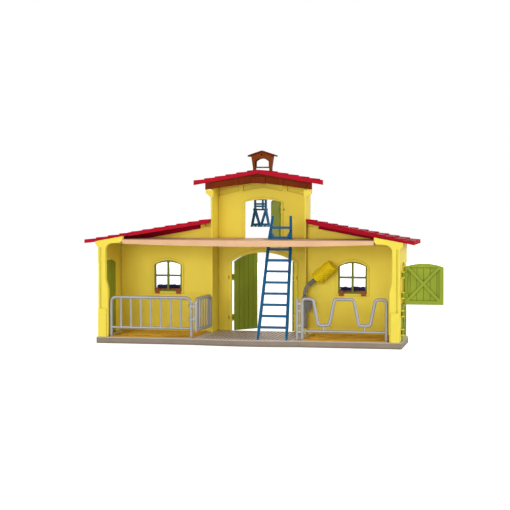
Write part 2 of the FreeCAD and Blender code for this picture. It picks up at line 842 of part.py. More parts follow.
def main_leaf():
    """Left leaf of the main doorway, closed: planks inside, battens outside."""
    inside_face = tower_out_y + door_proud - door_thick
    outside_face = tower_out_y + door_proud
    border_face = outside_face + door_raise
    half = block(-main_half, -door_gap / 2, inside_face - cut_over, border_face + cut_over, base_height,
                 main_spring + 2 * main_rise)

    def door(inset, y0, y1):
        return arch_y(0, main_half - inset, base_height + inset, main_spring - main_head_gap,
                      main_rise - inset, y0, y1)

    plate = door(door_gap, inside_face, outside_face).common(half)
    field = door(door_gap + door_frame, inside_face - cut_over, border_face + cut_over)
    field = field.common(block(-main_half, -door_gap / 2 - door_frame, inside_face - cut_over,
                               border_face + cut_over, base_height, main_spring + 2 * main_rise))
    border = door(door_gap, outside_face, border_face).common(half).cut(field)
    room = field.BoundBox
    braces = [prism_y(outline, outside_face, border_face)
              for outline in crossed_battens(room.XMin, room.XMax, room.ZMin, main_spring)]
    clearance = axis_post(main_place, hinge_radius + hinge_gap, 0, main_spring + main_rise)
    planks = plate.cut(plank_cuts_y(plate.BoundBox, inside_face) + plank_cuts_y(plate.BoundBox,
                                                                                outside_face))
    body = joined([planks, border] + [brace.common(field) for brace in braces]).cut(clearance)
    hinges = []
    for height in main_hinges:
        hinges += leaf_hinge(main_place, height)
    return joined([body] + hinges)


def loft_leaf():
    """Single arched leaf of the loft doorway, closed."""
    inside_face = tower_out_y + door_proud - door_thick
    outside_face = tower_out_y + door_proud
    border_face = outside_face + door_raise

    def door(inset, y0, y1):
        return arch_y(0, loft_door_half - inset, loft_top + inset, loft_door_spring,
                      loft_door_rise - inset / 2, y0, y1)

    plate = door(door_gap, inside_face, outside_face)
    field = block(-loft_door_half + door_gap + door_frame, loft_door_half - door_gap - door_frame,
                  inside_face - cut_over, border_face + cut_over, loft_top + door_gap + door_frame,
                  loft_door_spring - door_frame / 2)
    border = door(door_gap, outside_face, border_face).cut(field)
    room = field.BoundBox
    braces = [prism_y(outline, outside_face, border_face)
              for outline in crossed_battens(room.XMin, room.XMax, room.ZMin, room.ZMax)]
    clearance = axis_post(loft_door_place, hinge_radius + hinge_gap, 0, ridge_top)
    planks = plate.cut(plank_cuts_y(plate.BoundBox, inside_face) + plank_cuts_y(plate.BoundBox,
                                                                                outside_face))
    body = joined([planks, border] + [brace.common(field) for brace in braces]).cut(clearance)
    hinges = []
    for height in loft_door_hinges:
        hinges += leaf_hinge(loft_door_place, height)
    return joined([body] + hinges)


def loft_floor():
    back_left = wing_rear_y - seat_gap
    side = half_span - loft_end_gap
    behind_post = front_y + post_depth + seat_gap
    neck = tower_half + seat_gap
    throat = tower_half - wall - seat_gap
    right = [(bracket_end - seat_gap, front_y), (bracket_end - seat_gap, behind_post), (side, behind_post),
             (side, back_left - corner_radius), (side - corner_radius, back_left), (neck, back_left),
             (neck, tower_front_y - seat_gap), (throat, tower_front_y - seat_gap),
             (throat, tower_rear_y - seat_gap)]
    left = [(-x, y) for x, y in reversed(right)]
    rest = Part.makePolygon([vec(x, y, loft_low) for x, y in right + left])
    tip = bracket_end - seat_gap
    bow = Part.Arc(vec(-tip, front_y, loft_low), vec(0, front_y - loft_bow, loft_low),
                   vec(tip, front_y, loft_low))
    board = Part.Face(Part.Wire(rest.Edges + [bow.toShape()])).extrude(vec(0, 0, loft_thick))
    hatch_y = front_y + hatch_front
    hatch = block(hatch_x - hatch_half, hatch_x + hatch_half, hatch_y, hatch_y + hatch_length,
                  loft_low - cut_over, loft_top + cut_over)
    chin = Part.Arc(vec(-tip, front_y - loft_bow, loft_low),
                    vec(0, front_y - loft_bow, loft_low - loft_belly),
                    vec(tip, front_y - loft_bow, loft_low))
    chord = Part.makeLine(vec(tip, front_y - loft_bow, loft_low), vec(-tip, front_y - loft_bow, loft_low))
    belly = Part.Face(Part.Wire([chin.toShape(), chord])).extrude(vec(0, loft_bow + loft_edge, 0))
    edge_face = Part.Face(Part.Wire(rest.Edges + [bow.toShape()])).extrude(vec(0, 0, -2 * loft_belly))
    inner = Part.Arc(vec(-tip, front_y + loft_edge, 0), vec(0, front_y - loft_bow + loft_edge, 0),
                     vec(tip, front_y + loft_edge, 0))
    behind = Part.makePolygon([vec(tip, front_y + loft_edge, 0), vec(tip, tower_rear_y, 0),
                               vec(-tip, tower_rear_y, 0), vec(-tip, front_y + loft_edge, 0)])
    room = Part.Face(Part.Wire([inner.toShape()] + behind.Edges)).extrude(vec(0, 0, loft_top))
    y = front_y + loft_plank
    grooves = []
    while y < tower_rear_y - loft_plank / 2:
        grooves.append(block(-inner_span, inner_span, y - plank_groove / 2, y + plank_groove / 2,
                             loft_top - plank_cut, loft_top + cut_over))
        y += loft_plank
    return joined([board.cut([hatch] + grooves), belly.common(edge_face).cut(room)])


def lapped_slope(under, outer, inner):
    """Top line of a roof slope from eave to inner end: lapped courses over the skin."""
    count = int(round((outer - inner) / course))
    width = (outer - inner) / count
    line = []
    for number in range(count):
        low_x = outer - number * width
        high_x = low_x - width
        line.append((low_x, under(low_x) + roof_skin + course_step))
        line.append((high_x, under(high_x) + roof_skin))
    return line


def tile_joints(under, outer, inner, y0, y1):
    """Narrow cuts between the tiles of each course, staggered from course to course."""
    line = lapped_slope(under, outer, inner)
    count = int(round((y1 - y0) / tile_width))
    pitch = (y1 - y0) / count
    cuts = []
    for number, ((low_x, low_z), (high_x, high_z)) in enumerate(zip(line[::2], line[1::2])):
        outline = [(low_x, low_z - tile_cut), (low_x, low_z + tile_cut), (high_x, high_z + tile_cut),
                   (high_x, high_z - tile_cut)]
        shift = pitch / 2 if number % 2 else pitch / 4
        for joint in range(count):
            y = y0 + shift + joint * pitch
            cuts.append(prism_y(outline, y - tile_joint / 2, y + tile_joint / 2))
    return cuts


def wing_roof_right():
    inner = tower_half + seat_gap
    tip_front = front_y - wing_tip_front
    inner_front = wing_rear_y - wing_inner_lead
    back = wing_rear_y + wing_back
    outline = [(inner, wing_under(inner)), (wing_tip_x, wing_under(wing_tip_x))]
    slab = prism_y(outline + lapped_slope(wing_under, wing_tip_x, inner), tip_front, back)
    plan = prism_z([(wing_tip_x, tip_front), (wing_tip_x, back), (inner, back), (inner, inner_front)],
                   0, ridge_top)
    skirt = prism_y([(inner, wing_under(inner) - skirt_drop),
                     (half_span, wing_under(half_span) - skirt_drop), (half_span, wing_under(half_span)),
                     (inner, wing_under(inner))], back - skirt_thick, back)
    joints = tile_joints(wing_under, wing_tip_x, inner, tip_front, back)
    return joined([slab.common(plan), skirt]).cut(joints)


def tower_roof():
    right = lapped_slope(tower_under, tower_tip_x, 0)
    left = [(-x, z) for x, z in reversed(right[:-1])]
    under = [(-tower_tip_x, tower_tip_z), (0, ridge_under), (tower_tip_x, tower_tip_z)]
    slab = prism_y(under + right + left, tower_roof_y, tower_roof_end_y)
    lip = prism_y([(x, z - roof_lip) for x, z in under] + under[::-1], tower_roof_y,
                  tower_roof_y + roof_lip_thick)
    plan = prism_z([(-tower_tip_x, tower_roof_y), (tower_tip_x, tower_roof_y),
                    (tower_rear_tip_x, tower_roof_end_y),
                    (-tower_rear_tip_x, tower_roof_end_y)], 0, ridge_top + cut_over)
    joints = tile_joints(tower_under, tower_tip_x, 0, tower_roof_y, tower_roof_end_y)
    return joined([slab, lip]).common(plan).cut(joints + [other_side(joint) for joint in joints])


def gable_board():
    def low(x):
        return gable_end_low + (gable_half - x) * gable_pitch_share

    end, crown = gable_half, ridge_under
    board = prism_y([(-end, low(end)), (0, low(0)), (end, low(end)), (end, tower_under(end)), (0, crown),
                     (-end, tower_under(end))], tower_front_y, tower_front_y + gable_thick)
    strip = prism_y([(-end, tower_under(end) - gable_strip), (0, crown - gable_strip),
                     (end, tower_under(end) - gable_strip), (end, tower_under(end)), (0, crown),
                     (-end, tower_under(end))], tower_front_y - gable_strip_proud, tower_front_y)
    pieces = [board, strip]
    for x0, x1 in ((panel_inner_half, panel_outer_start), (end - gable_end_block, end)):
        stile = prism_y([(x0, low(x0)), (x1, low(x1)), (x1, tower_under(x1)), (x0, tower_under(x0))],
                        tower_front_y - gable_strip_proud, tower_front_y)
        pieces += [stile, other_side(stile)]
    pieces.append(block(-gable_crest_half, gable_crest_half, tower_front_y - gable_crest_proud,
                        tower_front_y + gable_thick, beam_low, beam_low + gable_crest_tall))
    return joined(pieces)


def ridge_beam():
    edge = beam_half
    return prism_y([(-edge, beam_low), (edge, beam_low), (edge, tower_under(edge)), (0, ridge_under),
                    (-edge, tower_under(edge))],
                   tower_front_y + gable_thick, tower_roof_end_y - beam_end_gap)


def cupola_ring(half, z):
    deep = half * cupola_depth_share
    corners = [(-half, -deep), (half, -deep), (half, deep), (-half, deep)]
    points = [vec(x, cupola_y + y, z) for x, y in corners]
    return Part.makePolygon(points + points[:1])


def cupola_body():
    top = cupola_floor + cupola_height
    outer = Part.makeLoft([cupola_ring(cupola_bottom_half, cupola_floor),
                           cupola_ring(cupola_top_half, top)], True, True)
    inner = Part.makeLoft([cupola_ring(cupola_bottom_half - cupola_wall, cupola_floor + cupola_wall),
                           cupola_ring(cupola_top_half - cupola_wall, top)], True, True)
    deep = cupola_top_half * cupola_depth_share
    peak = top + cupola_top_half * cupola_pitch_share
    gable = prism_y([(-cupola_top_half, top), (cupola_top_half, top), (0, peak)], cupola_y - deep,
                    cupola_y + deep)
    loft = prism_y([(-cupola_top_half, top), (cupola_top_half, top), (0, peak)],
                   cupola_y - deep + cupola_wall, cupola_y + deep - cupola_wall)
    sill = cupola_floor + cupola_wall
    y0, y1 = cupola_y - deep - cut_over, cupola_y + deep + cut_over
    opening = arch_y(0, cupola_bottom_half * cupola_arch_share, sill, sill + cupola_arch_spring,
                     cupola_arch_rise, y0, y1)
    peep = rod(vec(0, y0, top + cupola_hole), vec(0, y1, top + cupola_hole), cupola_hole)
    half = cupola_bottom_half
    feet = [block(side, side + cupola_foot, cupola_y - half * cupola_depth_share,
                  cupola_y + half * cupola_depth_share, cupola_floor - cupola_foot_drop, cupola_floor)
            for side in (-half, half - cupola_foot)]
    house = joined([outer.cut(inner), gable.cut(loft)]).cut([opening, peep])
    return joined([house] + [foot.cut(tower_roof()) for foot in feet])


def cupola_roof():
    top = cupola_floor + cupola_height
    peak = top + cupola_top_half * cupola_pitch_share
    half = cupola_top_half + cupola_eave_out
    deep = cupola_top_half * cupola_depth_share + cupola_eave_front
    end = peak - half * cupola_pitch_share
    return prism_y([(-half, end), (0, peak), (half, end), (half, end + cupola_roof_thick),
                    (0, peak + cupola_roof_thick), (-half, end + cupola_roof_thick)],
                   cupola_y - deep, cupola_y + deep)


def ladder_y(z):
    return front_y + ladder_foot_front + (z - base_height) * ladder_lean_share


def ladder_half(z):
    if z < loft_top:
        share = (z - base_height) / (loft_top - base_height)
        return ladder_foot_half + (ladder_loft_half - ladder_foot_half) * share
    share = (z - loft_top) / (ladder_top - loft_top)
    return ladder_loft_half + (ladder_top_half - ladder_loft_half) * share


def rail_section(side, z, width):
    wide, deep = width / 2, rail_depth / 2
    x, y = hatch_x + side * (ladder_half(z) - rail_width / 2), ladder_y(z)
    points = [vec(x - wide, y - deep, z), vec(x + wide, y - deep, z), vec(x + wide, y + deep, z),
              vec(x - wide, y + deep, z)]
    return Part.makePolygon(points + points[:1])


def ladder():
    stations = [(base_height, rail_foot_width), (base_height + rung_first, rail_width),
                (loft_top, rail_width), (ladder_top, rail_top_width)]
    pieces = []
    for side in (-1, 1):
        sections = [rail_section(side, z, width) for z, width in stations]
        pieces.append(Part.makeLoft(sections, True, True))
    z = base_height + rung_first
    while z < ladder_top - rung_pitch:
        half = ladder_half(z) - rail_width / 2
        clear_of_floor = z + rung_height < loft_low or z > loft_top + hook_tall
        if clear_of_floor:
            y = ladder_y(z)
            pieces.append(block(hatch_x - half, hatch_x + half, y - rung_depth / 2, y + rung_depth / 2,
                                z - rung_height / 2, z + rung_height / 2))
        z += rung_pitch
    pieces.append(ladder_hook())
    return joined(pieces)


def ladder_hook():
    """Cross bar above the hatch, braced to the rails, with a foot that rests on the loft floor."""
    y = ladder_y(loft_top + hook_bar)
    y0, y1 = y - hook_thick / 2, y + hook_thick / 2
    half = ladder_half(loft_top + hook_tall) - rail_width / 2
    bar_top, brace_top = loft_top + hook_bar, loft_top + hook_tall
    pieces = [block(hatch_x - half, hatch_x + half, y0, y1, loft_top, bar_top)]
    for side in (-1, 1):
        rail_x = hatch_x + side * half
        near, far = half - hook_brace_start, half - hook_brace_start - hook_brace_width
        pieces.append(prism_y([(rail_x, brace_top), (rail_x, brace_top - hook_brace_tall),
                               (hatch_x + side * near, loft_top), (hatch_x + side * far, loft_top)], y0,
                              ladder_y(brace_top) + hook_thick / 2))
    pieces.append(block(hatch_x - half, hatch_x + half, front_y + hatch_front - hook_reach / 2, y, loft_top,
                        loft_top + hook_thick))
    return joined(pieces)


def pen_railing():
    foot = straw_top
    frame = bent_tube([vec(pen_left, rail_y, foot), vec(pen_left, rail_y, pen_top),
                       vec(pen_right, rail_y, pen_top), vec(pen_right, rail_y, foot)], tube_radius, pen_bend)
    pieces = [frame, rod(vec(pen_left, rail_y, pen_low), vec(pen_right, rail_y, pen_low), low_rail_radius)]
    pitch = (pen_right - pen_left) / (pen_bars + 1)
    for number in range(1, pen_bars + 1):
        x = pen_left + number * pitch
        pieces.append(rod(vec(x, rail_y, pen_low), vec(x, rail_y, pen_top), bar_radius))
    return joined(pieces)


def pen_gate():
    """Tube gate with two C-clips round the railing's end post; shown swung to the rear."""
    x = pen_right + gate_offset
    near, far = rail_y, rail_y + gate_length
    frame = bent_tube([vec(x, near, gate_low), vec(x, near, gate_top), vec(x, far, gate_top),
                       vec(x, far, gate_low)], tube_radius, gate_bend)
    pieces = [frame, rod(vec(x, near, gate_low), vec(x, far, gate_low), tube_radius)]
    pitch = gate_length / (gate_bars + 1)
    for number in range(1, gate_bars + 1):
        y = near + number * pitch
        pieces.append(rod(vec(x, y, gate_low), vec(x, y, gate_top), gate_bar_radius))
    for share in clip_shares:
        low = gate_low + (gate_top - gate_low) * share
        ring = Part.makeCylinder(clip_radius, clip_height, vec(pen_right, rail_y, low))
        arm = block(pen_right, x, rail_y - clip_half, rail_y + clip_half, low, low + clip_height)
        bore = Part.makeCylinder(tube_radius + clip_gap, clip_height + 2 * cut_over,
                                 vec(pen_right, rail_y, low - cut_over))
        pieces.append(ring.fuse(arm).cut(bore))
    gate = joined(pieces)
    gate.rotate(vec(pen_right, rail_y, 0), vec(0, 0, 1), -gate_rest_angle)
    return gate


def feed_railing():
    """One tube bent into feeding gaps, with a lower rail, stubs and a clip bar."""
    levels = [feed_top, feed_top, feed_trough, feed_trough, feed_top,
              feed_top, feed_trough, feed_trough, feed_top, feed_top]
    xs = [feed_left]
    for share in feed_run_shares:
        xs.append(xs[-1] + (feed_right - feed_left) * share)
    path = [vec(feed_left, rail_y, straw_top)]
    path += [vec(x, rail_y, z) for x, z in zip(xs, levels)]
    path.append(vec(xs[-1], rail_y, straw_top))
    pieces = [bent_tube(path, tube_radius, feed_bend)]
    pieces.append(rod(vec(feed_left, rail_y, feed_low), vec(xs[-1], rail_y, feed_low), low_rail_radius))
    for x in ((xs[2] + xs[3]) / 2, (xs[6] + xs[7]) / 2):
        pieces.append(rod(vec(x, rail_y, feed_low), vec(x, rail_y, feed_trough), bar_radius))
    bar_x = feed_left - clip_bar_step
    pieces.append(rod(vec(bar_x, rail_y, base_height), vec(bar_x, rail_y, feed_top), tube_radius))
    for share in clip_bar_shares:
        height = base_height + (feed_top - base_height) * share
        pieces.append(block(bar_x, feed_left, rail_y - bar_radius, rail_y + bar_radius,
                            height - clip_bar_clip_height / 2, height + clip_bar_clip_height / 2))
    return joined(pieces)


def brush_start():
    """Middle of the roller's lower end, in front of the tower wall's edge."""
    return vec(tower_half + brush_start_out, tower_front_y - brush_post_radius - seat_gap,
               brush_post_top + brush_start_rise)


def brush_axis():
    return vec(brush_run, 0, brush_rise)


def brush_post():
    """Round post clipped to the tower wall's edge, with a drinking bowl on its side."""
    x, y = tower_half - brush_post_inset, brush_start().y
    foot = brush_post_low + brush_post_radius
    stand = Part.makeCylinder(brush_post_radius, brush_post_top - foot, vec(x, y, foot))
    ends = [Part.makeSphere(brush_post_radius, vec(x, y, z)) for z in (foot, brush_post_top)]
    clip = block(tower_half - wall, tower_half - seat_gap, y, tower_front_y, brush_post_top / 2,
                 brush_post_top)
    deep = bowl_top - bowl_low
    outside = Part.makeCone(bowl_foot_radius, bowl_radius, deep, vec(x + bowl_out, y, bowl_low))
    inside = Part.makeCone(bowl_foot_radius - bowl_wall, bowl_radius - bowl_wall, deep,
                           vec(x + bowl_out, y, bowl_low + bowl_wall))
    wall_room = block(x - bowl_radius, tower_half + seat_gap, tower_front_y - seat_gap,
                      tower_front_y + bowl_radius, bowl_low, bowl_top)
    return joined([stand, clip] + ends + [outside.cut([inside, wall_room])])


def brush_arm():
    """Ribbed neck from the stand to the roller, ending in the roller's spindle."""
    start = brush_start()
    along = unit(brush_axis())
    foot = vec(tower_half - brush_post_inset, start.y, brush_post_top + brush_post_radius)
    knee = start - along * ((start.x - foot.x) / along.x)
    neck = bent_tube([foot, knee, start - along * seat_gap], neck_radius, neck_bend)
    spindle = rod(start - along * (2 * seat_gap), start + brush_axis() * spindle_share, spindle_radius)
    pieces = [neck, spindle]
    gap = (start - knee).Length * neck_rib_share / neck_ribs
    for number in range(neck_ribs):
        middle = start - along * (gap * (number + 1))
        pieces.append(rod(middle, middle + along * (gap / 2), neck_rib_radius))
    return joined(pieces)


def brush_roller():
    """Bristle roller: rows of tufts round a core, bored for the spindle."""
    start = brush_start()
    axis = brush_axis()
    along = unit(axis)
    pieces = [rod(start, start + axis, brush_core_radius)]
    pitch = 1 / brush_rows
    for number in range(brush_rows):
        low = start + axis * (pitch * (number + (1 - brush_row_share) / 2))
        pieces.append(rod(low, low + axis * (pitch * brush_row_share), brush_radius))
    bore = rod(start - along * cut_over, start + axis * spindle_share + along * seat_gap,
               spindle_radius + spindle_gap)
    return joined(pieces).cut(bore)


def jib_pivot():
    return vec(0, tower_out_y + jib_pivot_out, jib_low)


def hoist_bracket():
    """Fork on the tower's outer face that carries the hoist arm's pivot pin."""
    pivot = jib_pivot()
    low, high = jib_low - fork_plate - seat_gap, jib_low + jib_height + seat_gap
    plates = [block(-fork_half, fork_half, tower_out_y, pivot.y + fork_half, z, z + fork_plate)
              for z in (low, high)]
    back = block(-fork_half, fork_half, tower_out_y, tower_out_y + fork_back, low, high + fork_plate)
    pin = Part.makeCylinder(pivot_radius, high - low, vec(pivot.x, pivot.y, low))
    return joined(plates + [back, pin])


def jib_tip():
    return jib_pivot() + vec(0, jib_reach, 0)


def at_jib(shape):
    turned = shape.copy()
    turned.rotate(jib_pivot(), vec(0, 0, 1), jib_rest_angle)
    return turned


def hoist_jib():
    pivot, tip = jib_pivot(), jib_tip()
    bar = block(-jib_half, jib_half, pivot.y, tip.y, jib_low, jib_low + jib_height)
    hub = Part.makeCylinder(jib_hub_radius, jib_height, pivot)
    eye = Part.makeCylinder(jib_eye_radius, jib_height, tip)
    bore = Part.makeCylinder(pivot_radius + pivot_gap, jib_height + 2 * cut_over,
                             pivot - vec(0, 0, cut_over))
    return at_jib(joined([bar, hub, eye]).cut(bore))


def grab_centre():
    middle = jib_tip()
    spot = Part.Vertex(middle)
    spot.rotate(jib_pivot(), vec(0, 0, 1), jib_rest_angle)
    return spot.Point


def grab_head():
    """Yoke of the grab: hanging eye under the hoist arm, two straps, a ram and cross bars."""
    centre = grab_centre()
    x, y = centre.x, centre.y
    pieces = [rod(vec(x, y, yoke_top), vec(x, y, jib_low), yoke_radius)]
    pieces.append(rod(vec(x - yoke_half, y, yoke_top), vec(x + yoke_half, y, yoke_top), yoke_radius))
    for share in yoke_bar_shares:
        height = yoke_top - yoke_tall * share
        pieces.append(rod(vec(x - yoke_half, y, height), vec(x + yoke_half, y, height), yoke_bar_radius))
    ram_x = x + ram_offset
    pieces.append(rod(vec(ram_x, y, jaw_pivot), vec(ram_x, y, yoke_top), ram_radius))
    reach = yoke_radius + jaw_gap + jaw_eye_thick + jaw_gap
    for side in (x - yoke_half, x + yoke_half):
        pieces.append(rod(vec(side, y, yoke_top - yoke_tall), vec(side, y, yoke_top), yoke_radius))
        pieces.append(rod(vec(side, y - reach, jaw_pivot), vec(side, y + reach, jaw_pivot), jaw_pin_radius))
    return joined(pieces)


def grab_jaw(side):
    """One jaw: two legs from the pivot eye to a foot bar with curved tines."""
    centre = grab_centre()
    x, y = centre.x, centre.y
    pivot = vec(x + side * yoke_half, y, jaw_pivot)
    eye_inner = yoke_radius + jaw_gap
    leg_y = eye_inner + jaw_eye_thick / 2
    jaw_outer = yoke_half + jaw_outer_gap
    pieces = []
    for lean in (-1, 1):
        top = pivot + vec(0, lean * leg_y, 0)
        outer = vec(x + side * jaw_outer, top.y, jaw_foot)
        inner = vec(x + side * jaw_inner, top.y, jaw_foot)
        for start, end in ((top, outer), (top, inner), (outer, inner)):
            pieces.append(rod(start, end, jaw_bar_radius))
        eye_start = pivot + vec(0, lean * eye_inner, 0)
        pieces.append(rod(eye_start, eye_start + vec(0, lean * jaw_eye_thick, 0), jaw_eye_radius))
    span = jaw_outer - jaw_inner
    for number in range(tine_count):
        foot_x = x + side * (jaw_inner + span * number / (tine_count - 1))
        tine_z = jaw_foot - tine_drop
        pieces.append(rod(vec(foot_x, y - tine_half, tine_z), vec(foot_x, y + tine_half, tine_z),
                          jaw_bar_radius))
        for leg in (y - leg_y, y + leg_y):
            pieces.append(rod(vec(foot_x, leg, jaw_foot), vec(foot_x, leg, tine_z), jaw_bar_radius))
    bore = rod(pivot - vec(0, tine_half, 0), pivot + vec(0, tine_half, 0), jaw_pin_radius + jaw_pin_gap)
    return joined(pieces).cut(bore)


nodes = {
    "base_centre": base_centre(),
    "tower_rear_wall": tower_rear_wall(),
    "loft_floor": loft_floor(),
    "tower_roof": tower_roof(),
    "gable_board": gable_board(),
    "ridge_beam": ridge_beam(),
    "cupola_body": cupola_body(),
    "cupola_roof": cupola_roof(),
    "ladder": ladder(),
    "pen_railing": pen_railing(),
    "pen_gate": pen_gate(),
    "feed_railing": feed_railing(),
    "brush_post": brush_post(),
    "brush_arm": brush_arm(),
    "brush_roller": brush_roller(),
    "hoist_bracket": hoist_bracket(),
    "hoist_jib": hoist_jib(),
    "grab_head": grab_head(),
    "grab_jaw_left": grab_jaw(-1),
    "grab_jaw_right": grab_jaw(1),
    "loft_door": swung(loft_leaf(), loft_door_place, -loft_door_angle),
    "main_door_left": swung(main_leaf(), main_place, main_left_angle),
    "main_door_right": other_side(swung(main_leaf(), main_place, main_right_angle)),
}
for name, shape in (("base", base_right()), ("straw_floor", straw_floor_right()),
                    ("rear_wall", rear_wall_right()),
                    ("window", window_right()), ("flower_box", flower_box_right()),
                    ("flowers", flowers_right()),
                    ("side_wall", side_wall_right()), ("front_post", front_post_right()),
                    ("tower_side_wall", tower_side_wall_right()), ("wing_roof", wing_roof_right())):
    nodes[name + "_right"] = shape
    nodes[name + "_left"] = other_side(shape)
lower_leaf = stable_leaf(base_height, stable_split - stable_gap / 2, lower_hinges)
upper_leaf = stable_leaf(stable_split + stable_gap / 2, stable_spring + 2 * stable_rise, upper_hinges)
nodes["right_lower_door"] = lower_leaf
nodes["right_upper_door"] = swung(upper_leaf, stable_place, -stable_rest_angle)
nodes["left_lower_door"] = other_side(lower_leaf)
nodes["left_upper_door"] = other_side(upper_leaf)

for name, shape in nodes.items():
    shape.exportStep("parts/" + name + ".step")
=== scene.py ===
import json
import math
import random

import bmesh
import bpy
from mathutils import Matrix, Vector


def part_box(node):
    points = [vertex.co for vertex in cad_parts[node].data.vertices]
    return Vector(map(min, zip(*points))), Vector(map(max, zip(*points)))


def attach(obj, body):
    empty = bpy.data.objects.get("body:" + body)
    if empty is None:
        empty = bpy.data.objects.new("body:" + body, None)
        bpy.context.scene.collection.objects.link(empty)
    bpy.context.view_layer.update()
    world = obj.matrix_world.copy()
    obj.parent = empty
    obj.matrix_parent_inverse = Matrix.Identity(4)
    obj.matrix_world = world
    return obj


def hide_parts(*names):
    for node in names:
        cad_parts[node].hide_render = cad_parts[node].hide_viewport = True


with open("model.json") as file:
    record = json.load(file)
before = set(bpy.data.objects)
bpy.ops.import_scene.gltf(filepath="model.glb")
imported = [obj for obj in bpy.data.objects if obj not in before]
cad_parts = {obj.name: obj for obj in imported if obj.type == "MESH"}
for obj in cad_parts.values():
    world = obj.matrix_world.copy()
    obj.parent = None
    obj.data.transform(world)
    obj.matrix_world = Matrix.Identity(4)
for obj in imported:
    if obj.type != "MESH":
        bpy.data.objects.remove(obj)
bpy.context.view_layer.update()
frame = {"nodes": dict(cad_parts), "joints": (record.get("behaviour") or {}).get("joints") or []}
nodes = frame["nodes"]


# Base: three grey trays clipped together, the middle one bowed out at the front.
# Moulded plastic; the deck planks run from front to back, with painted shade darkening their grooves
# and painted light making every face that points up paler.
def moulded_plastic(name, colour, patch=0.05, grain=0.00025, roughness=0.46, painted_shade=0.0, reach=0.0025,
                    edge=0.0006, gloss=0.10):
    """Through-coloured moulded plastic: faint patches, a fine eroded grain and softened edges, with painted
    shade in its hollows when asked for.
    """
    smoother, rougher = 0.07, 0.09
    # How dark the painted shade gets, as a share of the colour.
    painted_shade_tint = 0.25
    finish = bpy.data.materials.new(name)
    finish.use_nodes = True
    tree = finish.node_tree
    shader = tree.nodes["Principled BSDF"]
    place = tree.nodes.new("ShaderNodeTexCoord")
    cloud = tree.nodes.new("ShaderNodeTexNoise")
    cloud.inputs["Scale"].default_value = 26.0
    cloud.inputs["Detail"].default_value = 4.0
    tree.links.new(place.outputs["Object"], cloud.inputs["Vector"])
    tone = tree.nodes.new("ShaderNodeValToRGB")
    tone.color_ramp.elements[0].position = 0.3
    tone.color_ramp.elements[1].position = 0.7
    tone.color_ramp.elements[0].color = [c * (1 - patch) for c in colour] + [1]
    tone.color_ramp.elements[1].color = [min(1, c * (1 + patch)) for c in colour] + [1]
    tree.links.new(cloud.outputs["Fac"], tone.inputs["Fac"])
    shade = tone.outputs["Color"]
    # Painted shade: the colour is darkened in hollows, corners and under parts, as far as ambient occlusion
    # finds them hidden.
    if painted_shade:
        occlusion = tree.nodes.new("ShaderNodeAmbientOcclusion")
        occlusion.inputs["Distance"].default_value = reach
        occlusion.samples = 6
        shade_mix = tree.nodes.new("ShaderNodeMix")
        shade_mix.data_type = "RGBA"
        depth = tree.nodes.new("ShaderNodeMapRange")
        depth.inputs["From Min"].default_value = 0.35
        depth.inputs["From Max"].default_value = 0.9
        depth.inputs["To Min"].default_value = painted_shade
        depth.inputs["To Max"].default_value = 0.0
        tree.links.new(occlusion.outputs["AO"], depth.inputs["Value"])
        tree.links.new(depth.outputs["Result"], shade_mix.inputs["Factor"])
        tree.links.new(shade, shade_mix.inputs["A"])
        shade_mix.inputs["B"].default_value = [c * painted_shade_tint for c in colour] + [1]
        shade = shade_mix.outputs["Result"]
    tree.links.new(shade, shader.inputs["Base Color"])
    speckle = tree.nodes.new("ShaderNodeTexNoise")
    speckle.inputs["Scale"].default_value = 900.0
    speckle.inputs["Detail"].default_value = 2.0
    tree.links.new(place.outputs["Object"], speckle.inputs["Vector"])
    sheen = tree.nodes.new("ShaderNodeMapRange")
    sheen.inputs["To Min"].default_value = roughness - smoother
    sheen.inputs["To Max"].default_value = roughness + rougher
    tree.links.new(cloud.outputs["Fac"], sheen.inputs["Value"])
    tree.links.new(sheen.outputs["Result"], shader.inputs["Roughness"])
    soft_edge = tree.nodes.new("ShaderNodeBevel")
    soft_edge.inputs["Radius"].default_value = edge
    soft_edge.samples = 4
    relief = tree.nodes.new("ShaderNodeBump")
    relief.inputs["Strength"].default_value = 0.35
    relief.inputs["Distance"].default_value = grain
    tree.links.new(speckle.outputs["Fac"], relief.inputs["Height"])
    tree.links.new(soft_edge.outputs["Normal"], relief.inputs["Normal"])
    tree.links.new(relief.outputs["Normal"], shader.inputs["Normal"])
    shader.inputs["Specular IOR Level"].default_value = gloss
    return finish


deck_grey = moulded_plastic("deck_grey", (0.29, 0.24, 0.185), patch=0.10, roughness=0.6, painted_shade=1.0,
                            reach=0.004)
# Painted light: faces that point up are mixed towards this paler grey.
lit_top_grey = (0.70, 0.62, 0.59, 1)
tree = deck_grey.node_tree
place = next(n for n in tree.nodes if n.type == "TEX_COORD")
tone = next(n for n in tree.nodes if n.type == "VALTORGB")
shade_mix = next(n for n in tree.nodes if n.type == "MIX")
upward = tree.nodes.new("ShaderNodeSeparateXYZ")
tree.links.new(place.outputs["Normal"], upward.inputs["Vector"])
lit_top_mix = tree.nodes.new("ShaderNodeMix")
lit_top_mix.data_type = "RGBA"
lit_top_mix.inputs["B"].default_value = lit_top_grey
tree.links.new(upward.outputs["Z"], lit_top_mix.inputs["Factor"])
tree.links.new(tone.outputs["Color"], lit_top_mix.inputs["A"])
tree.links.new(lit_top_mix.outputs["Result"], shade_mix.inputs["A"])
for name in ("base_centre", "base_left", "base_right"):
    nodes[name].data.materials[0] = deck_grey


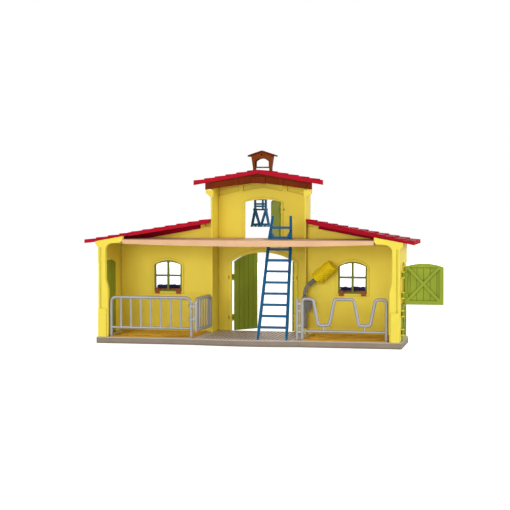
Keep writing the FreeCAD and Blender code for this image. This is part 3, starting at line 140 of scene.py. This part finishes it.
# Straw mats: ochre plastic trays let into the stall floors, straw moulded on top.
# The stalks are a low relief of crossed strands over the whole mat.
# The mat's ochre gets painted shade where stalks and walls hide it.
straw_ochre = moulded_plastic("straw_ochre", (0.68, 0.36, 0.03), patch=0.22, roughness=0.62, painted_shade=0.5)
straw_stalk = moulded_plastic("straw_stalk", (0.78, 0.46, 0.06), patch=0.25, roughness=0.6)
stalk_count = 420
stalk_length = 0.016
stalk_shortest_share = 0.6
stalk_longest_share = 1.5
stalk_width = 0.0011
stalk_round_share = 0.3
stalk_turn = 0.7
stalk_tilt = 0.02
chance = random.Random(7)


def finished_piece(name, shape, finishes):
    """Makes a scene object of a bmesh, which it frees, with its finishes in this order."""
    mesh = bpy.data.meshes.new(name)
    shape.to_mesh(mesh)
    shape.free()
    for finish in finishes:
        mesh.materials.append(finish)
    piece = bpy.data.objects.new(name, mesh)
    bpy.context.collection.objects.link(piece)
    return piece


for side in ("left", "right"):
    mat_name = "straw_floor_" + side
    nodes[mat_name].data.materials[0] = straw_ochre
    low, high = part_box(mat_name)
    strands = bmesh.new()
    for number in range(stalk_count):
        x = chance.uniform(low[0] + stalk_length, high[0] - stalk_length)
        y = chance.uniform(low[1] + stalk_length, high[1] - stalk_length)
        turn = Matrix.Rotation(chance.gauss(0.0, stalk_turn), 4, "Z")
        length = stalk_length * chance.uniform(stalk_shortest_share, stalk_longest_share)
        tilt = Matrix.Rotation(chance.uniform(-stalk_tilt, stalk_tilt), 4, "Y")
        spot = Matrix.Translation((x, y, high[2]))
        size = Matrix.Diagonal((length, stalk_width, stalk_width, 1))
        bmesh.ops.create_cube(strands, size=1.0, matrix=spot @ (turn @ tilt) @ size)
    bmesh.ops.bevel(strands, geom=strands.edges[:], offset=stalk_width * stalk_round_share, affect="EDGES",
                    segments=1, profile=0.5, material=-1)
    relief_piece = finished_piece("straw_relief_" + side, strands, [straw_stalk])
    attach(relief_piece, "building")


# Walls and posts: yellow moulded panels that plug into the base and into each other.
# The colour goes right through; rounded edges and a faint plaster grain, with painted shade darkening the
# corners and recesses.
wall_yellow = moulded_plastic("wall_yellow", (0.90, 0.735, 0.085), patch=0.03, grain=0.0003, roughness=0.5,
                              painted_shade=0.45, reach=0.003, edge=0.0011)
for name in ("rear_wall_left", "rear_wall_right", "side_wall_left", "side_wall_right", "front_post_left",
             "front_post_right", "tower_side_wall_left", "tower_side_wall_right", "tower_rear_wall"):
    nodes[name].data.materials[0] = wall_yellow


# Windows: one-piece green frames with a mullion and a transom, pressed into the openings.
# No panes; the same green as the doors but a shade darker.
# The green gets painted shade in the corners of the frames.
frame_green = moulded_plastic("frame_green", (0.17, 0.21, 0.026), patch=0.06, roughness=0.45, painted_shade=0.4)
for name in ("window_left", "window_right"):
    nodes[name].data.materials[0] = frame_green


# Flower boxes: terracotta troughs hooked under the windows outside, planted with violets.
# The planting is a moulding of its own: dark soil, a few leaves and two rows of deep violet
# blossoms. Names that end in share are parts of a petal's, a leaf's or the box's size.
# The terracotta and the petals get painted shade where they are hidden.
box_terracotta = moulded_plastic("box_terracotta", (0.33, 0.085, 0.035), patch=0.12, roughness=0.6,
                                 painted_shade=0.4)
violet_petal = moulded_plastic("violet_petal", (0.036, 0.042, 0.145), patch=0.4, roughness=0.5, painted_shade=0.4)
violet_leaf = moulded_plastic("violet_leaf", (0.035, 0.075, 0.016), patch=0.3, roughness=0.5)
dark_soil = moulded_plastic("dark_soil", (0.045, 0.026, 0.014), patch=0.4, roughness=0.8)
soil_tall = 0.013
soil_crumb = 0.0006
soil_cuts = 9
leaf_count = 26
leaf_size = 0.0032
leaf_shape_shares = (0.6, 1.0, 0.16)
leaf_out_share = 0.25
leaf_rise = 0.0015
leaf_swing = 0.5
leaf_lean = 0.5
blossom_count = 110
blossom_scatter_share = 0.30
blossom_nod = 1.2
blossom_tilt = 0.6
crown_drop_share = 0.7
row_drop_share = 0.9
stray_drop_share = 0.4
petal_count = 5
petal_size = 0.0029
petal_shape_shares = (0.68, 0.58, 0.16)
petal_out_share = 0.6
petal_rise_share = 0.12
petal_cup = 0.25


def painted(verts, finish_number):
    """Gives every face on these new vertices one of the mesh's finishes."""
    for face in {face for vert in verts for face in vert.link_faces}:
        face.material_index = finish_number


for side in ("left", "right"):
    nodes["flower_box_" + side].data.materials[0] = box_terracotta
    low, high = (Vector(corner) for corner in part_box("flowers_" + side))
    span = high - low
    planting = bmesh.new()
    soil_middle = Vector(((low.x + high.x) / 2, (low.y + high.y) / 2, low.z + soil_tall / 2))
    soil_size = Matrix.Diagonal((span.x, span.y, soil_tall, 1))
    bmesh.ops.create_cube(planting, size=1.0, matrix=Matrix.Translation(soil_middle) @ soil_size)
    bmesh.ops.subdivide_edges(planting, edges=planting.edges[:], cuts=soil_cuts, use_grid_fill=True)
    for vert in planting.verts:
        if vert.co.z > soil_middle.z:
            vert.co.z += chance.uniform(-soil_crumb, soil_crumb)
    painted(planting.verts, 2)
    blade = Matrix.Diagonal([leaf_size * share for share in leaf_shape_shares] + [1])
    for number in range(leaf_count):
        outward = 1 if number % 2 else -1
        x = low.x + leaf_size + (span.x - 2 * leaf_size) * (number + 0.5) / leaf_count
        y = soil_middle.y + outward * span.y * leaf_out_share
        root = Matrix.Translation((x, y, low.z + soil_tall + leaf_rise))
        swing = Matrix.Rotation(chance.uniform(-leaf_swing, leaf_swing), 4, "Z")
        lean = Matrix.Rotation(-outward * leaf_lean, 4, "X")
        leaf = bmesh.ops.create_icosphere(planting, subdivisions=1, radius=1.0,
                                          matrix=root @ (swing @ lean) @ blade)
        painted(leaf["verts"], 1)
    cup = Matrix.Rotation(-petal_cup, 4, "Y")
    lift = Matrix.Translation((petal_size * petal_out_share, 0.0, petal_size * petal_rise_share)) @ cup
    size = Matrix.Diagonal([petal_size * share for share in petal_shape_shares] + [1])
    for number in range(blossom_count):
        x = low.x + petal_size + (span.x - 2 * petal_size) * ((number + 0.5) / blossom_count)
        y = soil_middle.y + chance.uniform(-blossom_scatter_share, blossom_scatter_share) * span.y
        row_top = high.z - petal_size * crown_drop_share - (number % 2) * petal_size * row_drop_share
        z = row_top - chance.uniform(0.0, petal_size * stray_drop_share)
        nod = Matrix.Rotation(chance.uniform(-blossom_nod, blossom_nod), 4, "X")
        facing = nod @ Matrix.Rotation(chance.uniform(-blossom_tilt, blossom_tilt), 4, "Y")
        for petal in range(petal_count):
            turn = Matrix.Rotation(2 * math.pi * petal / petal_count, 4, "Z")
            bmesh.ops.create_icosphere(planting, subdivisions=1, radius=1.0,
                                       matrix=Matrix.Translation((x, y, z)) @ facing @ turn @ lift @ size)
    violets = finished_piece("violets_" + side, planting, [violet_petal, violet_leaf, dark_soil])
    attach(violets, "building")
    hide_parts("flowers_" + side)


# Doors: seven green leaves hung on moulded pins. Planks on the inside,
# a raised border and crossed braces outside, with a lengthwise wood grain.
def grained_plastic(name, colour, along, patch=0.08, roughness=0.5, painted_shade=0.6, gloss=0.08):
    """Moulded plastic with a wood grain that runs along one axis (0 for X, 1 for Y, 2 for Z), and painted
    shade in its hollows.
    """
    fibre_squeeze = 0.06
    finish = moulded_plastic(name, colour, patch=patch, roughness=roughness, painted_shade=painted_shade, gloss=gloss)
    tree = finish.node_tree
    place = next(n for n in tree.nodes if n.type == "TEX_COORD")
    relief = next(n for n in tree.nodes if n.type == "BUMP")
    stretch = tree.nodes.new("ShaderNodeMapping")
    stretch.inputs["Scale"].default_value = [fibre_squeeze if axis == along else 1.0 for axis in range(3)]
    tree.links.new(place.outputs["Object"], stretch.inputs["Vector"])
    fibre = tree.nodes.new("ShaderNodeTexNoise")
    fibre.inputs["Scale"].default_value = 520.0
    fibre.inputs["Detail"].default_value = 5.0
    fibre.inputs["Distortion"].default_value = 0.6
    tree.links.new(stretch.outputs["Vector"], fibre.inputs["Vector"])
    tree.links.new(fibre.outputs["Fac"], relief.inputs["Height"])
    relief.inputs["Strength"].default_value = 0.55
    return finish


# The green gets painted shade in the plank joints and round the braces.
door_green = grained_plastic("door_green", (0.29, 0.365, 0.034), along=2)
for name in ("main_door_left", "main_door_right", "loft_door", "left_upper_door", "left_lower_door",
             "right_upper_door", "right_lower_door"):
    nodes[name].data.materials[0] = door_green


# Loft floor: one tan moulding that lies on ledges of the walls between the brackets.
# Lengthwise boards with a wood grain.
# The tan gets painted shade in the board joints and where the walls meet it.
loft_tan = grained_plastic("loft_tan", (0.80, 0.49, 0.285), along=0, patch=0.07, roughness=0.55, painted_shade=0.55)
nodes["loft_floor"].data.materials[0] = loft_tan


# Roofs: red shells with lapped courses of tiles, clipped down on the wall tops.
# Satin plastic; painted shade darkens the joints between tiles. A rim stiffens the front edge
# of each wing roof, from the tower to the bracket of the post.
roof_red = moulded_plastic("roof_red", (0.49, 0.010, 0.028), patch=0.07, roughness=0.55, painted_shade=0.55,
                           gloss=0.006)
for name in ("wing_roof_left", "wing_roof_right", "tower_roof"):
    nodes[name].data.materials[0] = roof_red
rim_tall = 0.0065
rim_below_crest = 0.0002
rim_proud = 0.0012
rim_sunk = 0.0004
rim_round = 0.0004
rim_start_share = 0.01
inner_end_depth = 0.0005


def front_then_top(corner):
    """Puts corners in order from the front, to a tenth of a millimetre, and then from the top."""
    return round(corner.y, 4), -corner.z


for side, outward in (("left", -1), ("right", 1)):
    corners = [vert.co for vert in nodes["wing_roof_" + side].data.vertices]
    inner_x = min(abs(corner.x) for corner in corners)
    inner_corners = [corner for corner in corners if abs(corner.x) < inner_x + inner_end_depth]
    inner_top = min(inner_corners, key=front_then_top)
    outer_top = min(corners, key=front_then_top)
    bracket_x = min(abs(corner[0]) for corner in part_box("front_post_" + side))
    rim_end_share = (bracket_x - inner_x) / (abs(outer_top.x) - inner_x)
    start = inner_top.lerp(outer_top, rim_start_share)
    end = inner_top.lerp(outer_top, rim_end_share)
    run = end - start
    ahead = Vector((run.y, -run.x, 0.0)).normalized() * outward
    section = ((-rim_sunk, -rim_below_crest), (rim_proud, -rim_below_crest), (rim_proud, -rim_tall),
               (-rim_sunk, -rim_tall))
    rim = bmesh.new()
    first = rim.faces.new([rim.verts.new(start + ahead * out + Vector((0, 0, up))) for out, up in section])
    drawn = bmesh.ops.extrude_face_region(rim, geom=[first])
    far_verts = [part for part in drawn["geom"] if isinstance(part, bmesh.types.BMVert)]
    bmesh.ops.translate(rim, vec=run, verts=far_verts)
    bmesh.ops.recalc_face_normals(rim, faces=rim.faces[:])
    bmesh.ops.bevel(rim, geom=rim.edges[:], offset=rim_round, affect="EDGES", segments=2, profile=0.5,
                    material=-1)
    roof_rim = finished_piece("roof_rim_" + side, rim, [roof_red])
    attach(roof_rim, "building")


# Gable board and ridge beam: brown mouldings under the tower roof.
# Wood grain runs along each of them.
# Both browns get painted shade in their hollows.
gable_brown = grained_plastic("gable_brown", (0.17, 0.026, 0.004), along=0, patch=0.14, roughness=0.6,
                              gloss=0.04)
beam_brown = grained_plastic("beam_brown", (0.16, 0.027, 0.005), along=1, patch=0.14, roughness=0.6,
                             gloss=0.04)
nodes["gable_board"].data.materials[0] = gable_brown
nodes["ridge_beam"].data.materials[0] = beam_brown


# Cupola: a small open turret that straddles the ridge, body and cap moulded in brown.
# The cap is a tone redder than the body.
# Body and cap get painted shade in their hollows.
cupola_brown = grained_plastic("cupola_brown", (0.21, 0.050, 0.009), along=2, patch=0.16, roughness=0.6,
                               gloss=0.04)
cap_brown = grained_plastic("cap_brown", (0.17, 0.011, 0.004), along=1, patch=0.14, roughness=0.6, gloss=0.03)
nodes["cupola_body"].data.materials[0] = cupola_brown
nodes["cupola_roof"].data.materials[0] = cap_brown


# Ladder, hoist arm and grab: blue satin mouldings. The ladder hooks on the loft edge,
# the arm turns on its fork and the two jaws turn on pins in the grab's head.
# The grab's own copy of the blue is painted brighter, as painted light, and is a little glossier than the
# rest.
# The ladder and arm get painted shade in their hollows.
hoist_blue = moulded_plastic("hoist_blue", (0.006, 0.10, 0.225), patch=0.06, roughness=0.38, painted_shade=0.2,
                             gloss=0.14)
grab_lit_blue = moulded_plastic("grab_lit_blue", (0.008, 0.125, 0.32), patch=0.06, roughness=0.36, gloss=0.2)
for name in ("ladder", "hoist_bracket", "hoist_jib"):
    nodes[name].data.materials[0] = hoist_blue
for name in ("grab_head", "grab_jaw_left", "grab_jaw_right"):
    nodes[name].data.materials[0] = grab_lit_blue


# Railings and gate: grey tube mouldings with a metallic pigment, as galvanised tube looks.
# The gate's clips snap round the pen railing's end post.
# The grey gets painted shade where the tubes meet and cross.
rail_grey = moulded_plastic("rail_grey", (0.33, 0.33, 0.335), patch=0.08, roughness=0.36, painted_shade=0.5,
                            gloss=0.3)
rail_grey.node_tree.nodes["Principled BSDF"].inputs["Metallic"].default_value = 0.25
for name in ("pen_railing", "pen_gate", "feed_railing"):
    nodes[name].data.materials[0] = rail_grey


# Grooming brush: a grey stand with a drinking bowl and a ribbed neck that holds the roller's spindle.
# The yellow roller spins on it: a bored core set all round with rows of stiff bristle tufts.
# The stand's grey gets painted shade in its ribs and hollows.
stand_grey = moulded_plastic("stand_grey", (0.25, 0.25, 0.245), patch=0.08, roughness=0.5, painted_shade=0.8)
nodes["brush_post"].data.materials[0] = stand_grey
nodes["brush_arm"].data.materials[0] = stand_grey
# Painted shade: the core is a little darker than the bristles, so the gaps between tufts read as shaded.
core_shaded_ochre = moulded_plastic("core_shaded_ochre", (0.97, 0.72, 0.012), patch=0.08, roughness=0.5)
brush_yellow = moulded_plastic("brush_yellow", (1.0, 0.80, 0.016), patch=0.08, roughness=0.5)
spin = next(joint for joint in frame["joints"] if joint["name"] == "brush_spin")
roller_turn = Vector(spin["axis"]).to_track_quat("Z", "Y").to_matrix().to_4x4()
roller_place = Matrix.Translation(spin["pos_m"]) @ roller_turn
roller_length = 0.0362
roller_radius = 0.0112
core_radius = 0.0090
core_round = 0.0008
core_steps = 32
weld_reach = 1e-6
bore_radius = 0.0021
bore_depth = 0.0233
tuft_rows = 11
tufts_per_row = 22
tuft_spread = 0.025
bristles_per_tuft = 4
bristle_foot = 0.0006
bristle_tip = 0.0006
bristle_sides = 4
bristle_length = roller_radius - core_radius
roller = bmesh.new()
core_outline = ((0.0, bore_depth), (bore_radius, bore_depth), (bore_radius, 0.0),
                (core_radius - core_round, 0.0), (core_radius, core_round),
                (core_radius, roller_length - core_round), (core_radius - core_round, roller_length),
                (0.0, roller_length))
corners = [roller.verts.new((radius, 0.0, height)) for radius, height in core_outline]
outline_edges = [roller.edges.new(pair) for pair in zip(corners, corners[1:])]
bmesh.ops.spin(roller, geom=corners + outline_edges, cent=(0, 0, 0), axis=(0, 0, 1), angle=2 * math.pi,
               steps=core_steps, use_merge=True)
bmesh.ops.remove_doubles(roller, verts=roller.verts[:], dist=weld_reach)
bmesh.ops.recalc_face_normals(roller, faces=roller.faces[:])
to_side = Matrix.Rotation(math.pi / 2, 4, "Y")
outwards = Matrix.Translation((core_radius + bristle_length / 2, 0.0, 0.0))
for row in range(tuft_rows):
    along = Matrix.Translation((0.0, 0.0, roller_length * (row + 0.5) / tuft_rows))
    for tuft in range(tufts_per_row):
        angle = 2 * math.pi * (tuft + 0.5 * (row % 2)) / tufts_per_row
        for bristle in range(bristles_per_tuft):
            splay = Matrix.Rotation(angle + chance.gauss(0.0, tuft_spread), 4, "Z")
            lean = Matrix.Rotation(chance.gauss(0.0, tuft_spread), 4, "Y")
            spike = bmesh.ops.create_cone(roller, cap_ends=True, segments=bristle_sides, radius1=bristle_foot,
                                          radius2=bristle_tip, depth=bristle_length,
                                          matrix=along @ splay @ lean @ outwards @ to_side)
            painted(spike["verts"], 1)
bmesh.ops.transform(roller, matrix=roller_place, verts=roller.verts[:])
bristle_roller = finished_piece("bristle_roller", roller, [core_shaded_ochre, brush_yellow])
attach(bristle_roller, "roller")
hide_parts("brush_roller")


# Studio: a white floor and a white surround, soft lamps from the front, from both sides
# and from behind, and the camera where the photograph was taken from.
def background_rays(tree):
    """One for the rays that show the background: straight from the camera, mirrored or through glass."""
    rays = tree.nodes.new("ShaderNodeLightPath")
    seen = rays.outputs["Is Camera Ray"]
    for kind in ("Is Glossy Ray", "Is Transmission Ray"):
        either = tree.nodes.new("ShaderNodeMath")
        either.operation = "MAXIMUM"
        tree.links.new(seen, either.inputs[0])
        tree.links.new(rays.outputs[kind], either.inputs[1])
        seen = either.outputs["Value"]
    return seen


floor_half = 30.0
floor_glow = 0.62
floor_white = bpy.data.materials.new("floor_white")
floor_white.use_nodes = True
tree = floor_white.node_tree
shader = tree.nodes["Principled BSDF"]
shader.inputs["Base Color"].default_value = (0.92, 0.92, 0.92, 1)
shader.inputs["Roughness"].default_value = 0.7
glow = tree.nodes.new("ShaderNodeMath")
glow.operation = "MULTIPLY"
glow.inputs[1].default_value = floor_glow
tree.links.new(background_rays(tree), glow.inputs[0])
shader.inputs["Emission Color"].default_value = (1, 1, 1, 1)
tree.links.new(glow.outputs["Value"], shader.inputs["Emission Strength"])
sheet = bmesh.new()
bmesh.ops.create_grid(sheet, x_segments=1, y_segments=1, size=floor_half)
floor = finished_piece("floor", sheet, [floor_white])

room_light = 0.33
backdrop_light = 1.0
world = bpy.data.worlds.new("studio")
bpy.context.scene.world = world
world.use_nodes = True
tree = world.node_tree
surround = tree.nodes["Background"]
surround.inputs["Color"].default_value = (1, 1, 1, 1)
level = tree.nodes.new("ShaderNodeMapRange")
level.inputs["To Min"].default_value = room_light
level.inputs["To Max"].default_value = backdrop_light
tree.links.new(background_rays(tree), level.inputs["Value"])
tree.links.new(level.outputs["Result"], surround.inputs["Strength"])

barn_middle = Vector((0.0, -0.02075, 0.13))


def softbox(name, spot, size, power):
    """A square soft lamp aimed at the middle of the barn."""
    lamp = bpy.data.lights.new(name, "AREA")
    lamp.size = size
    lamp.energy = power
    holder = bpy.data.objects.new(name, lamp)
    holder.location = spot
    holder.rotation_euler = (barn_middle - Vector(spot)).to_track_quat("-Z", "Y").to_euler()
    bpy.context.collection.objects.link(holder)


softbox("left_lamp", spot=(-1.7, -2.2, 0.6), size=1.1, power=8.0)
softbox("right_lamp", spot=(2.5, -0.85, 0.85), size=1.2, power=33.0)
softbox("front_lamp", spot=(-0.5, -2.7, 0.4), size=1.2, power=33.0)
softbox("rear_lamp", spot=(-0.6, 2.6, 0.5), size=1.5, power=22.0)

camera_yaw = math.radians(11.7)
camera_pitch = math.radians(2.58)
camera_distance = 2.209
sight = bpy.data.cameras.new("photo_camera")
sight.sensor_width = 36.0
sight.lens = 98.0
sight.shift_x = 0.0057
sight.shift_y = 0.0124
sight.clip_end = 100.0
camera = bpy.data.objects.new("photo_camera", sight)
away = Vector((math.sin(camera_yaw) * math.cos(camera_pitch),
               -math.cos(camera_yaw) * math.cos(camera_pitch), math.sin(camera_pitch)))
camera.location = barn_middle + away * camera_distance
camera.rotation_euler = (-away).to_track_quat("-Z", "Y").to_euler()
bpy.context.collection.objects.link(camera)
bpy.context.scene.camera = camera
bpy.context.scene.view_settings.view_transform = "Standard"
